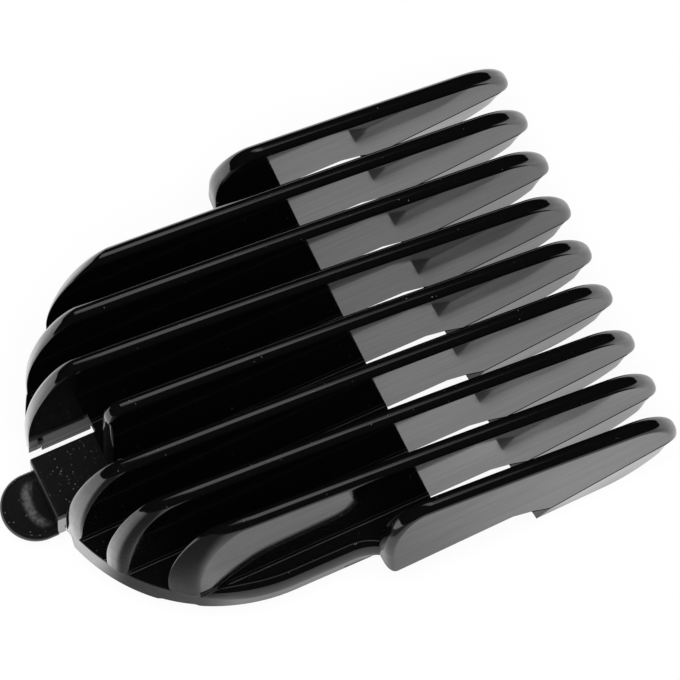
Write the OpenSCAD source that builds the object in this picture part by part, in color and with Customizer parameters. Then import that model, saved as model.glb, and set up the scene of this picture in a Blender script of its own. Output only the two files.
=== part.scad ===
// Clip-on guide comb for a hair clipper or beard trimmer, in millimetres.
// X runs across the fins, Y runs forward to the fin tips, Z is up. The rest plane is Z = 0.
// Inside the modules Y = 0 is the front edge of the deck; place() moves it to the middle.

/* [Hood] */
// Radius of the round back, also half the width of the hood
hood_radius = 20.35; // [19.8:0.05:20.9]
// Distance from the front edge of the deck to the centre of the round back
hood_length = 16.8; // [16:0.1:17.6]
// Height of the top of the deck above the rest plane
deck_height = 8.5; // [8.2:0.1:8.8]
// Thickness of the deck plate and of the latch tongue
deck_thickness = 1.3; // [1.2:0.05:1.5]
// Thickness of the skirt wall
skirt_wall = 1.4; // [1.2:0.1:1.7]
// Drop of the skirt below the deck along the sides
skirt_drop = 4.3; // [4:0.1:4.7]
// Drop of the skirt below the deck at the back
skirt_drop_back = 4.2; // [3.9:0.1:4.4]
// Distance behind the deck front where the skirt's lower edge starts to rise
skirt_rise_from = 26; // [24:0.5:28]
// Rounding of the deck edge along the sides
edge_round = 1.0; // [0.7:0.1:1.2]
// Distance that the ears carry the outer fins out from the hood
ear_reach = 0.57; // [0.45:0.01:0.8]
// Length of the ears along the outer fins
ear_length = 6.2; // [5.5:0.1:6.6]
// Length over which the deck edge sweeps out to the ears
ear_sweep = 4.2; // [3:0.1:5]
// Length of the shallow pocket in each side of the skirt
pocket_length = 3.3; // [2.5:0.1:4]
// Height of the pocket in each side of the skirt
pocket_height = 1.7; // [1.3:0.1:2]
// Height of the sill under the pocket
pocket_sill = 0.35; // [0.25:0.05:0.6]
// Distance from the deck front to the pocket in each side
pocket_from = 7.9; // [7.4:0.1:8.6]
// Depth of the pocket in each side of the skirt
pocket_depth = 0.25; // [0.15:0.05:0.4]
// Width of the shallow relief in the skirt under the second fins
relief_width = 4.8; // [4:0.1:5.6]
// Height of the shallow relief
relief_height = 0.4; // [0.2:0.1:0.8]
// Width of the notch in the skirt beside the latch
notch_width = 1.4; // [1:0.1:1.8]
// Height of that notch
notch_height = 1.5; // [1:0.1:2]

/* [Fins] */
// Thickness of each fin at its ridge
fin_thickness = 1.7; // [1.55:0.05:1.85]
// Draft of the sides of the fins, degrees
fin_draft = 0.9; // [0.5:0.1:1.5]
// Draft of the outside of the outer fins, degrees
outer_draft = 4.2; // [3:0.1:4.5]
// Rounding along the ridge, the heel and the tip of each fin
fin_round = 0.7; // [0.55:0.05:0.75]
// Spacing from the middle fin to the next, at the front edge of the deck
spacing_inner = 5.77; // [5.6:0.01:5.9]
// Spacing from that fin to the third
spacing_middle = 5.49; // [5.3:0.01:5.65]
// Spacing from the third fin to the fourth
spacing_outer = 5.14; // [5:0.01:5.3]
// Angle by which the fins beside the latch spread towards the back, degrees
splay_inner = 0.71; // [0.3:0.01:0.9]
// The same for the third fins
splay_middle = 0.46; // [0.2:0.01:0.7]
// The same for the fourth fins
splay_outer = 0.34; // [0.1:0.01:0.6]
// The same for the outer fins
splay_edge = 0.81; // [0.5:0.01:1]
// Angle by which the fins beside the latch lean in towards their feet, degrees
cant_inner = 1.2; // [0:0.1:2]
// The same for the third fins
cant_middle = 0.8; // [0:0.1:2]
// The same for the fourth fins, which lean out
cant_outer = -0.6; // [-2:0.1:0]
// Height of the ridge above the deck at the deck's front edge
ridge_height = 11.41; // [10.5:0.01:12]
// Slope of the ridge there, degrees
ridge_fall = 11.66; // [11:0.01:12.5]
// Bow radius of the ridge
ridge_bow = 575; // [400:5:900]
// Fall of the ridges from the middle fin to the outer fins
ridge_crown = 1.3; // [0.9:0.1:1.6]
// Length of the rounded heel of a fin
heel_run = 5.9; // [5.2:0.1:7]
// Height above the deck where the heel starts to round off
heel_start = 2.6; // [2:0.1:4]
// Rounding of the heel's edge towards the middle of the comb
heel_round = 0.2; // [0.15:0.05:0.5]
// Distance that the heels stand out from the round back
heel_proud = 0.15; // [0:0.05:0.3]
// Length of the rounded heel of the outer fins
outer_heel_run = 4.5; // [4:0.1:5.2]
// Distance from the deck front to the heel of the outer fins
outer_heel_from = 7.45; // [7.2:0.05:7.8]
// Slant of the heel of the outer fins, degrees
outer_heel_slant = 6; // [2:1:10]
// Rounding of the lower corner of the outer heels
heel_corner = 0.3; // [0.2:0.05:0.5]
// Length of the rounded back end of the middle fin
middle_heel_run = 1.9; // [1.4:0.1:2.5]
// Reach of the fin tips ahead of the deck
tip_reach = 27.0; // [26:0.1:28]
// Height of the foremost point of a tip
tip_level = 7.6; // [7.3:0.1:8]
// Distance behind the tip where the ridge starts to round down
nose_run = 5.2; // [4.6:0.1:5.6]
// Length over which the sides of a tip round in to its point
tip_run = 1.1; // [0.8:0.05:1.3]

/* [Toes] */
// Distance from the deck front to the end of the flat lower edge
seat_length = 7.2; // [6.8:0.1:7.6]
// Distance from the deck front to the blade stop
stop_from = 9.4; // [9:0.1:9.8]
// Height of the top of the blade stop
stop_top = 6.2; // [6:0.05:6.4]
// Length of the undercut of the blade stop
stop_lean = 1.0; // [0.6:0.05:1.3]
// Distance from the deck front to the start of the parting line
parting_from = 11.6; // [11.2:0.1:12]
// Height of the parting line there
parting_level = 4.7; // [4.5:0.05:4.9]
// Rise of the parting line there, degrees
parting_rise = 11.8; // [11:0.1:12.5]
// Curl radius of the parting line
parting_curl = 900; // [600:50:1500]
// Distance behind the tip where the parting line ends
parting_end = 0.3; // [0.2:0.05:0.5]
// Distance from the deck front to the end of the flat keel
keel_flat = 18.5; // [17.5:0.1:19]
// Curl radius of the keel as it rises to the tip
keel_curl = 6.8; // [6.4:0.1:7.6]
// Depth of the chin below the end of the parting line
chin_depth = 0.4; // [0.3:0.1:0.8]
// Width of the keel
keel_width = 0.8; // [0.6:0.05:1]
// Width of the keel at the blade stop
keel_width_stop = 0.9; // [0.7:0.05:1.1]

/* [Latch] */
// Length of the tongue from its flex line to its end
tongue_length = 6.4; // [5.8:0.1:7]
// Width of the slit on each side of the tongue
slit_width = 1.1; // [0.9:0.05:1.4]
// Length by which the slits run past the flex line
slit_past = 1.2; // [1:0.05:1.6]
// Distance that the end of the tongue stays inside the round back
tongue_inset = 0.2; // [0.1:0.05:0.4]
// Clearance round the flex line
flex_gap = 0.06; // [0.04:0.01:0.1]
// Radius of the thumb tab
tab_radius = 3.85; // [3.6:0.05:4]
// Distance from the end of the tongue to the centre of the tab
tab_neck = 1.0; // [0.8:0.1:1.2]
// Height of the top of the tab
tab_top = 4.1; // [3.9:0.1:4.4]
// Thickness of the tab
tab_thickness = 1.5; // [1.3:0.1:1.8]
// Depth of the thumb dish
dish_depth = 0.4; // [0.2:0.05:0.5]
// Thickness of the catch lug below the tongue
catch_thickness = 1.8; // [1.5:0.1:2.2]
// Forward reach of the catch hook
catch_reach = 1.2; // [0.8:0.1:1.5]
// Height of the catch hook
catch_height = 2.6; // [2:0.1:3]
// Width of the catch hook
hook_width = 4; // [3:0.5:5]
// Thickness of the ribs beside the slits
rib_thickness = 1.2; // [1:0.1:1.5]
// Drop of the ribs below the deck's top
rib_drop = 2.4; // [2:0.1:2.8]

/* [Hidden] */
$fn = 96;
back = hood_length + hood_radius;
tongue_end = back - tongue_inset;
shift = (tongue_end + tab_neck + tab_radius - tip_reach) / 2;
seat_level = deck_height - deck_thickness;
inner_radius = hood_radius - skirt_wall;
heel_radius = hood_radius + heel_proud;
half = fin_thickness / 2;
hinge_y = -tongue_end + tongue_length;
hinge_z = deck_height - deck_thickness / 2;
far = 80;

// centre lines of the fins on one side, counted from the middle fin
centre = [0, spacing_inner, spacing_inner + spacing_middle,
          spacing_inner + spacing_middle + spacing_outer, hood_radius + ear_reach + half];
lean = [0, -tan(splay_inner), -tan(splay_middle), -tan(splay_outer), -tan(splay_edge)];
cant = [0, tan(cant_inner), tan(cant_middle), tan(cant_outer), 0];
window_half = middle(1, hinge_y, deck_height) - face(1, -1, hinge_y, deck_height);
tongue_half = window_half - slit_width;
middle_back = hinge_y + 0.75;

function ridge(j, y) = deck_height + ridge_height - ridge_crown * j * j / 16 - tan(ridge_fall) * y
    - y * y / (2 * ridge_bow);
function parting(y) = let (s = y - parting_from)
    parting_level + tan(parting_rise) * s - s * s / (2 * parting_curl);
// distance from a height z up to the straight line that the ridge of fin j follows
function below(j, y, z) = deck_height + ridge_height - ridge_crown * j * j / 16 - tan(ridge_fall) * y - z;
// place across of the middle plane of fin j
function middle(j, y, z) = centre[j] + lean[j] * y - cant[j] * below(j, y, z);
// distance from the middle of fin j to its face on one side, at a height z: the drafted sides are plane
function face(j, s, y, z) = half + tan(s > 0 && j == 4 ? outer_draft : fin_draft) * below(j, y, z);
function keel(y) = y < keel_flat ? 0 : pow(y - keel_flat, 2) / (2 * keel_curl);
function curve(a, b, c, d, t) = pow(1 - t, 3) * a + 3 * t * pow(1 - t, 2) * b
    + 3 * t * t * (1 - t) * c + pow(t, 3) * d;

// where the heel of fin j stands at distance x from the middle plane
function heel_foot(j, x) =
    j == 0 ? middle_back
    : j == 4 ? -outer_heel_from + tan(outer_heel_slant) * (x - centre[4])
    : -hood_length - sqrt(heel_radius * heel_radius - x * x);

HEEL_STEPS = 9;
RIDGE_STEPS = 6;
NOSE_STEPS = 7;
CHIN_STEPS = 3;
PARTING_STEPS = 6;
ROUND_STEPS = [90, 60, 30, 0];
parting_stop = tip_reach - parting_end - tip_run - 0.1;
function parting_station(i) = parting_from + (parting_stop - parting_from) * i / PARTING_STEPS;

// side outline of fin j, drawn in by d for the rounded edges, with its heel at foot drawn in by e
function outline(j, d, e, foot) =
    let (run = j == 0 ? middle_heel_run : j == 4 ? outer_heel_run : heel_run,
         start = j == 0 ? ridge(j, foot + run) - 2.4 : deck_height + heel_start,
         top = foot + run,
         rise = ridge(j, top) - start,
         nose = tip_reach - nose_run,
         fall = atan(tan(ridge_fall) + nose / ridge_bow),
         g = d * tip_run / fin_round,
         p0 = [nose, ridge(j, nose) - d],
         p3 = [tip_reach - g, tip_level],
         p1 = p0 + 0.5 * nose_run * [cos(fall), -sin(fall)],
         p2 = p3 + [0, 0.55 * (p0[1] - tip_level)],
         end = tip_reach - parting_end - g,
         chin = [end, parting(end)],
         elbow = [tip_reach - g, (tip_level + chin[1]) / 2])
    concat(
        j == 4 ? [for (a = [0:30:90])
                [foot + e + heel_corner * (1 - sin(a)), seat_level + heel_corner * (1 - cos(a))]]
            : [[foot + e, deck_height]],
        [for (i = [0:HEEL_STEPS]) let (a = 90 * i / HEEL_STEPS)
            [top - (run - e) * cos(a), start + (rise - d) * sin(a)]],
        [for (i = [1:RIDGE_STEPS]) let (y = top + (nose - top) * i / RIDGE_STEPS) [y, ridge(j, y) - d]],
        [for (i = [1:NOSE_STEPS]) curve(p0, p1, p2, p3, i / NOSE_STEPS)],
        [for (i = [1:CHIN_STEPS]) let (t = i / CHIN_STEPS)
            pow(1 - t, 2) * p3 + 2 * t * (1 - t) * elbow + t * t * chin],
        [for (i = [PARTING_STEPS:-1:0]) [parting_station(i), parting(parting_station(i))]],
        [[stop_from, stop_top], [seat_length, seat_level]],
        j == 4 ? [[0, seat_level]] : [[0, seat_level], [0, deck_height]]);

// a closed skin through outlines that stand side by side; each end closes round its hub, if hubs are given
module skin(rows, hubs = []) {
    n = len(rows[0]);
    m = len(rows);
    last = (m - 1) * n;
    polyhedron(
        points = concat([for (r = rows) for (p = r) p], hubs),
        faces = concat(
            len(hubs) == 2 ? [for (k = [0:n - 1]) [m * n, (k + 1) % n, k]] : [[for (k = [n - 1:-1:0]) k]],
            [for (i = [0:m - 2]) for (k = [0:n - 1])
                [i * n + k, i * n + (k + 1) % n, (i + 1) * n + (k + 1) % n]],
            [for (i = [0:m - 2]) for (k = [0:n - 1])
                [i * n + k, (i + 1) * n + (k + 1) % n, (i + 1) * n + k]],
            len(hubs) == 2 ? [for (k = [0:n - 1]) [m * n + 1, last + k, last + (k + 1) % n]]
                : [[for (k = [0:n - 1]) last + k]]));
}

module place() {
    translate([0, shift, 0]) children();
}

// the fin on the side that the sign of j gives
module side(j) {
    if (j < 0) mirror([1, 0, 0]) children();
    else children();
}

module fin(k) {
    j = abs(k - 5);
    layers = concat(
        [for (a = ROUND_STEPS) [-(half - fin_round + fin_round * sin(a)), fin_round * (1 - cos(a))]],
        [for (i = [len(ROUND_STEPS) - 1:-1:0]) let (a = ROUND_STEPS[i])
            [half - fin_round + fin_round * sin(a), fin_round * (1 - cos(a))]]);
    back_y = j == 0 ? middle_back : heel_foot(j, centre[j]);
    hub = [seat_length / 2, deck_height + ridge_height / 2];
    // the point p of the side outline, at the share s of the fin's half thickness
    function at(p, s) = [middle(j, p[0], p[1]) + s * face(j, s, p[0], p[1]), p[0], p[1]];
    place() side(k - 5)
        skin([for (l = layers) let (foot = heel_foot(j, middle(j, back_y, deck_height) + l[0]),
                    inset = j > 0 && l[0] < 0 ? l[1] * heel_round / fin_round : l[1])
                [for (p = outline(j, l[1], inset, foot)) at(p, l[0] / half)]],
            [at(hub, -1), at(hub, 1)]);
}

// the keel under the front of a fin: a bar that narrows downwards and ends in the blade stop
module toe(k) {
    j = abs(k - 5);
    end = tip_reach - parting_end;
    floor_from = stop_from + stop_lean;
    // each station gives y, z and the share of the fin's width there
    tops = concat([[stop_from, stop_top, 1]],
        [for (i = [0:PARTING_STEPS]) [parting_station(i), parting(parting_station(i)), 1]],
        [[end, parting(end), 1 - fin_round / half]]);
    // each station gives y, z and half the keel's width there
    lows = concat([[floor_from, 0, keel_width_stop / 2]],
        [for (i = [0:PARTING_STEPS]) let (y = i == 0 ? floor_from + 0.1 : parting_station(i))
            [y, keel(y), keel_width / 2]],
        [[end, parting(end) - chin_depth, (half - fin_round) * 0.8]]);
    place() side(k - 5)
        skin([for (i = [0:len(tops) - 1]) let (t = tops[i], b = lows[i],
                xt = middle(j, t[0], t[1]),
                out = face(j, 1, t[0], t[1]) * t[2],
                in = face(j, -1, t[0], t[1]) * t[2],
                xb = middle(j, b[0], b[1]) + (out - in) / 2)
            [[xt + out, t[0], t[1]], [xb + b[2], b[0], b[1]],
                [xb - b[2], b[0], b[1]], [xt - in, t[0], t[1]]]]);
}

// plan of the hood at radius r
module hood_plan(r) {
    intersection() {
        union() {
            translate([0, -hood_length]) circle(r);
            translate([-r, -hood_length]) square([2 * r, hood_length + r]);
        }
        translate([-far, -far]) square([2 * far, far]);
    }
}

// plan of the window for the tongue, with slits that run past its flex line
module latch_window() {
    slit_end = hinge_y + slit_past;
    polygon([[-window_half, -back - 1], [window_half, -back - 1], [window_half, slit_end],
        [tongue_half, slit_end], [tongue_half, hinge_y], [-tongue_half, hinge_y],
        [-tongue_half, slit_end], [-window_half, slit_end]]);
}

module deck() {
    rib_end = hinge_y + slit_past;
    color("black") place() difference() {
        union() {
            translate([0, 0, deck_height - deck_thickness]) linear_extrude(deck_thickness) difference() {
                hood_plan(inner_radius);
                latch_window();
            }
            // ribs beside the slits
            translate([0, 0, deck_height - rib_drop])
                linear_extrude(rib_drop - deck_thickness / 2) intersection() {
                    hood_plan(inner_radius);
                    for (s = [0, 1]) mirror([s, 0])
                        translate([window_half, -back]) square([rib_thickness, back + rib_end]);
                }
        }
        translate([0, hinge_y, hinge_z]) rotate([0, 90, 0])
            cylinder(r = deck_thickness / 2 + flex_gap, h = 2 * tongue_half, center = true);
    }
}

// what is cut from the top corner of the skirt wall, out from the centre of the round back
module corner() {
    difference() {
        translate([hood_radius - edge_round, deck_height - edge_round]) square(2 * edge_round);
        translate([hood_radius - edge_round, deck_height - edge_round]) circle(edge_round);
    }
}

// plan of the ear that carries an outer fin, with an edge that sweeps out from the rounded deck edge
module ear_plan() {
    edge = hood_radius - edge_round;
    front = centre[4] - face(4, -1, 0, seat_level);
    rear = centre[4] - lean[4] * ear_length - face(4, -1, -ear_length, seat_level);
    polygon(concat([[inner_radius, 0], [front, 0]],
        [for (t = [1:-0.125:0]) [edge + (rear - edge) * pow(t, 2.5), -ear_length - ear_sweep * (1 - t)]],
        [[inner_radius, -ear_length - ear_sweep]]));
}

module skirt() {
    sharp = acos((centre[3] - lean[3] * 27 + half) / hood_radius);
    low = deck_height - skirt_drop;
    color("black") place() {
        difference() {
            intersection() {
                linear_extrude(deck_height) difference() {
                    hood_plan(hood_radius);
                    hood_plan(inner_radius);
                }
                // lower edge, level along the sides and rising at the back
                translate([-far, 0, 0]) rotate([90, 0, 90]) linear_extrude(2 * far) polygon([
                    [1, deck_height + 1], [1, low], [-skirt_rise_from, low],
                    [-back - 1, deck_height - skirt_drop_back], [-back - 1, deck_height + 1]]);
            }
            // opening for the latch
            translate([-window_half, -back - 1, -1]) cube([2 * window_half, hood_radius, far]);
            for (s = [0, 1]) mirror([s, 0, 0]) {
                // rounded deck edge behind the ears
                translate([0, -ear_length, 0]) rotate([90, 0, 0])
                    linear_extrude(hood_length - ear_length) corner();
                translate([0, -hood_length, 0]) rotate([0, 0, -sharp])
                    rotate_extrude(angle = sharp) corner();
                // shallow pocket in the side and shallow relief in the round back
                translate([hood_radius - pocket_depth, -pocket_from - pocket_length, low + pocket_sill])
                    cube([1, pocket_length, pocket_height]);
                translate([0, -hood_length, 0]) rotate([0, 0, -sharp - 2])
                    translate([inner_radius - 1, -relief_width / 2, low - 1])
                        cube([skirt_wall + 2, relief_width, relief_height + 1]);
                // notch beside the latch
                translate([window_half - 0.5, -back - 1, low - 1])
                    cube([notch_width + 0.5, hood_radius, notch_height + 1]);
            }
        }
        // ears that carry the outer fins
        for (s = [0, 1]) mirror([s, 0, 0])
            translate([0, 0, seat_level]) linear_extrude(deck_height - seat_level) ear_plan();
    }
}

module latch_tongue() {
    r = deck_thickness / 2;
    color("dimgray") place() translate([-tongue_half, hinge_y, hinge_z]) rotate([90, 0, 90])
        linear_extrude(2 * tongue_half) union() {
            circle(r);
            translate([-tongue_length, -r]) square([tongue_length, 2 * r]);
        }
}

module thumb_tab() {
    r = tab_thickness / 2;
    dish = tab_radius * tab_radius / (2 * dish_depth);
    color("black") place() translate([0, -tongue_end - tab_neck, tab_top - tab_thickness]) difference() {
        union() {
            rotate([0, 0, 180]) rotate_extrude(angle = 180) {
                square([tab_radius - r, tab_thickness]);
                intersection() {
                    translate([tab_radius - r, r]) circle(r);
                    translate([0, 0]) square([tab_radius, tab_thickness]);
                }
            }
            translate([-tab_radius, 0, r]) rotate([-90, 0, 0]) linear_extrude(tab_neck) {
                translate([r, -r]) square([2 * (tab_radius - r), tab_thickness]);
                for (x = [r, 2 * tab_radius - r]) translate([x, 0]) circle(r);
            }
        }
        translate([0, -0.4, tab_thickness + dish - dish_depth]) sphere(dish);
    }
}

module latch_catch() {
    top = deck_height - deck_thickness;
    sill = tab_top - tab_thickness;
    color("black") place() rotate([90, 0, 90]) {
        // lug, as wide as the tongue
        translate([-tongue_end, sill, -tongue_half])
            cube([catch_thickness, top - sill, 2 * tongue_half]);
        // hook
        translate([-tongue_end, 0, -hook_width / 2]) linear_extrude(hook_width)
            polygon([[0, 0], [0, top - 0.5], [catch_thickness, top - 0.5], [catch_thickness, catch_height],
                [catch_thickness + catch_reach, catch_height - 0.5], [catch_thickness + 0.3, 0]]);
    }
}

deck();
skirt();
color("black") fin(1);  // fin_1
color("black") fin(2);  // fin_2
color("black") fin(3);  // fin_3
color("black") fin(4);  // fin_4
color("black") fin(5);  // fin_5
color("black") fin(6);  // fin_6
color("black") fin(7);  // fin_7
color("black") fin(8);  // fin_8
color("black") fin(9);  // fin_9
color("black") toe(1);  // toe_1
color("black") toe(2);  // toe_2
color("black") toe(3);  // toe_3
color("black") toe(4);  // toe_4
color("black") toe(5);  // toe_5
color("black") toe(6);  // toe_6
color("black") toe(7);  // toe_7
color("black") toe(8);  // toe_8
color("black") toe(9);  // toe_9
latch_tongue();
thumb_tab();
latch_catch();
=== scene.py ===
"""Looks of a clip-on guide comb for a hair clipper: a gloss black moulding on a white table."""

import math

import bmesh
import bpy
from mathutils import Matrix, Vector


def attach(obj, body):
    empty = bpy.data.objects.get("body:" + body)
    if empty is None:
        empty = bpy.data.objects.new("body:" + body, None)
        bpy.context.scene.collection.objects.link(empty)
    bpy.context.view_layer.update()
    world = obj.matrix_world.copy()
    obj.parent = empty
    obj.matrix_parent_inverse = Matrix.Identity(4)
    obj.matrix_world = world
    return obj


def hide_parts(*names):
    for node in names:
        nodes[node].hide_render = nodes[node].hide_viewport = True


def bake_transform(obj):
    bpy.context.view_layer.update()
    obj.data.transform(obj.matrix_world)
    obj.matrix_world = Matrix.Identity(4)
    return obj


MM = 0.001

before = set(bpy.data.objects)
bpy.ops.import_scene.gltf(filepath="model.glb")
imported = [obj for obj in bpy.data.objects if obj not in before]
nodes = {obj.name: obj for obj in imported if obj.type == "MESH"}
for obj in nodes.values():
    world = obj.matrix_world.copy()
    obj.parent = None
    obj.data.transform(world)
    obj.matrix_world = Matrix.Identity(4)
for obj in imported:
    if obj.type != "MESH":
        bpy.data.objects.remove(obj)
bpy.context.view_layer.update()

# Sizes are in millimetres and degrees; Y = 0 is the front edge of the deck until a piece is placed.
# They follow the part's source, but the pocket is shallower and the notch beside the latch taller
# here, and fillets, lip, tuck, ledges and edge breaks are added.

# Hood: deck, ribs and wall
HOOD_RADIUS = 20.35
HOOD_LENGTH = 16.8
DECK_HEIGHT = 8.5
DECK_THICKNESS = 1.3
DECK_BREAK = 0.1
RIB_THICKNESS = 1.2
RIB_DROP = 2.4
RIB_SEAT = 0.05
RIB_REAR_GAP = 0.02
SKIRT_WALL = 1.4
SKIRT_DROP = 4.3
SKIRT_DROP_BACK = 4.2
SKIRT_RISE_FROM = 26.0
SKIRT_RISE_PAST = 1.0
WALL_FOOT = 0.12
WALL_CHAMFER = 0.15
WALL_TUCK = 0.18
EDGE_ROUND = 1.0
EDGE_FALL = 2.0
EDGE_CRISP = 0.12
LIP_WIDTH = 0.4
LIP_HEIGHT = 0.22
# angles round the back between which the soft edge, the lip and the tuck of the sides die out
EDGE_FADES = (12.0, 41.0)
LIP_FADES = (20.0, 39.0)
TUCK_FADES = (12.0, 50.0)
EAR_REACH = 0.57
EAR_LENGTH = 6.2
EAR_SWEEP = 4.2
EAR_CURVE = 2.5
POCKET_LENGTH = 3.3
POCKET_HEIGHT = 1.7
POCKET_SILL = 0.35
POCKET_FROM = 7.9
POCKET_DEPTH = 0.07
POCKET_CORNER = 0.5
POCKET_SLOPE = (-0.02, 0.1)
RELIEF_WIDTH = 4.8
RELIEF_HEIGHT = 0.4
RELIEF_AT = 36.0
RELIEF_FADE = 2.0
NOTCH_WIDTH = 1.6
NOTCH_HEIGHT = 2.9
NOTCH_FADE = 0.7
# sections along the straight wall: under the ear, fine ones along the pocket, then plain ones
EAR_ROWS, EAR_ROW_STEP = 24, 0.3
POCKET_ROWS, POCKET_ROW_STEP, POCKET_ROWS_FROM = 68, 0.07, 7.2
PLAIN_ROWS_FROM = 12.0

# Fins
FIN_THICKNESS = 1.7
FIN_DRAFT = 0.9
OUTER_DRAFT = 4.2
FIN_ROUND = 0.7
FIN_SEAT = 0.15
SPACING = (5.77, 5.49, 5.14)
SPLAY = (0.0, 0.71, 0.46, 0.34, 0.81)
CANT = (0.0, 1.2, 0.8, -0.6, 0.0)
RIDGE_HEIGHT = 11.41
RIDGE_FALL = 11.66
RIDGE_BOW = 575.0
RIDGE_CROWN = 1.3
HEEL_RUN = 5.9
HEEL_START = 2.6
HEEL_ROUND = 0.2
HEEL_PROUD = 0.15
HEEL_SINK = 0.1
HEEL_BASE = 1.0
HEEL_SKIRT = 0.5
HEEL_FLAT = 1.08
HEEL_CORNER = 0.3
OUTER_HEEL_RUN = 4.5
OUTER_HEEL_FROM = 7.45
OUTER_HEEL_SLANT = 6.0
MIDDLE_HEEL_RUN = 1.9
MIDDLE_HEEL_FROM = 0.75
MIDDLE_HEEL_DROP = 2.4
TIP_REACH = 27.0
TIP_LEVEL = 7.6
TIP_RUN = 1.1
TIP_PULL = 0.55
NOSE_RUN = 5.2
NOSE_PULL = 0.5
ROOT_COVE = 0.3
COVE_SEAT = 0.05
COVE_OVERLAP = 0.02
COVE_FROM_HEEL = 0.5
COVE_PAST_EAR = 0.2
ROOT_LINE = 0.2

# Toes
SEAT_LENGTH = 7.2
STOP_FROM = 9.4
STOP_TOP = 6.2
STOP_LEAN = 1.0
STOP_SIDE = 0.6
PARTING_FROM = 11.6
PARTING_LEVEL = 4.7
PARTING_RISE = 11.8
PARTING_CURL = 900.0
PARTING_END = 0.3
PARTING_OVERLAP = 0.1
PARTING_STEP = 0.05
KEEL_FLAT = 18.5
KEEL_CURL = 6.8
KEEL_WIDTH = 0.8
KEEL_WIDTH_STOP = 0.9
KEEL_LEAD = 0.1
CHIN_FROM = 25.0
CHIN_GAP = 0.1
EDGE_BREAK = 0.06

# Latch
TONGUE_LENGTH = 6.4
TONGUE_INSET = 0.2
TONGUE_ROOT = 0.9
TONGUE_EDGE = 0.22
TONGUE_BREAK = 0.1
SLIT_WIDTH = 1.1
SLIT_PAST = 1.2
TAB_RADIUS = 3.85
TAB_NECK = 1.0
TAB_TOP = 4.1
TAB_THICKNESS = 1.5
TAB_EYE = 0.15
DISH_DEPTH = 0.4
DISH_BACK = 0.4
RIM_BLEND = 0.45
CATCH_BREAK = 0.12
# painted highlight on the tab: a lighter crescent along the back of the dish, standing in for a
# reflection
TAB_HIGHLIGHT_CENTRE = -27.0
TAB_HIGHLIGHT_RADIUS = 4.26
TAB_HIGHLIGHT_WIDTH = 0.8
TAB_HIGHLIGHT_ENDS = (1.8, 3.0)

HALF = FIN_THICKNESS / 2
INNER_RADIUS = HOOD_RADIUS - SKIRT_WALL
HEEL_RADIUS = HOOD_RADIUS + HEEL_PROUD
SEAT_LEVEL = DECK_HEIGHT - DECK_THICKNESS
TONGUE_END = HOOD_LENGTH + HOOD_RADIUS - TONGUE_INSET
SHIFT = (TONGUE_END + TAB_NECK + TAB_RADIUS - TIP_REACH) / 2
HINGE_Y = -TONGUE_END + TONGUE_LENGTH
SLIT_END = HINGE_Y + SLIT_PAST
CENTRE = (0.0, SPACING[0], SPACING[0] + SPACING[1], sum(SPACING), HOOD_RADIUS + EAR_REACH + HALF)

# Camera, fitted to the photograph
AIM = Vector((-0.610, 5.309, 13.086)) * MM
CAMERA_AZIMUTH = 65.4275
CAMERA_ELEVATION = 71.6364
CAMERA_DISTANCE = 3.0
FIELD_WIDTH = 72.232 * MM
SENSOR_WIDTH = 36.0

# Lamps: name, azimuth, elevation, distance and size in metres, watts, and if the comb mirrors it
LAMPS = (
    ("strip", 215.5, 60.0, 0.8, (0.22, 0.08), 0.045, True),
    ("strip_fade", 215.5, 55.8, 0.8, (0.22, 0.035), 0.0075, True),
    ("fill", 65, 75, 1.0, (0.8, 0.8), 10.0, False),
)

# Room as the comb mirrors it: grey of the horizon and of the dark above it
HORIZON = 0.1
HORIZON_BAND = 0.02
CEILING = 0.003

# Table: metres from its middle to its edge, its even glow to the eye, the grey on which the comb's
# shadow shows, and its grey to all other light
TABLE_REACH = 6.0
TABLE_WHITE = 0.93
TABLE_SHADE = 0.1
TABLE_PLAIN = 0.8

# Table as the comb mirrors it: brightness under the fins and more towards the open sides, farther
# off, on the camera's side and in the comb's shadow
GLOW_BESIDE = 0.4
GLOW_SIDES = 0.14
GLOW_SIDES_AT = 20.0
GLOW_OPEN = 1.0
GLOW_CAMERA_SIDE = 0.44
GLOW_SHADOW = 0.085
GLOW_SHADOW_BESIDE = 0.24
# the open table starts beside the hood, in front of the tips and behind the deck
OPEN_FRONT = 31.0
OPEN_BACK = -12.0
OPEN_RAMP = 22.0
CAMERA_SIDE_SPREAD = (0.3, 0.9)
CAMERA_SIDE_ENDS = (100.0, 180.0)
SHADOW_TOWARDS = 48.0
SHADOW_SPREAD = (0.9, 0.98)
# the table is dimmer beside the hood than in front of it, and lighter on the near side of the fins
HOOD_DIM_ALONG = (-5.0, 14.0)
HOOD_DIM = 0.75
NEAR_FINS_ACROSS = (20.0, 24.0)
NEAR_FINS_ALONG = (2.0, 24.0)
NEAR_FINS_GAIN = (-0.15, 0.3)
# the painted shade where the toes touch the table is deepest right beside the blade stops
TOUCH_REACH = 2.0
TOUCH_SPREAD = (0.05, 0.8)
STOP_SHADE_ALONG = (18.0, 23.0)
STOP_SHADE = (0.1, 0.72)
# hardly any light gets in under the hood
UNDER_HOOD_RADII = (17.5, 19.5)
UNDER_HOOD_ALONG = (4.0, 6.5)
UNDER_HOOD_LOSS = 0.7

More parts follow.
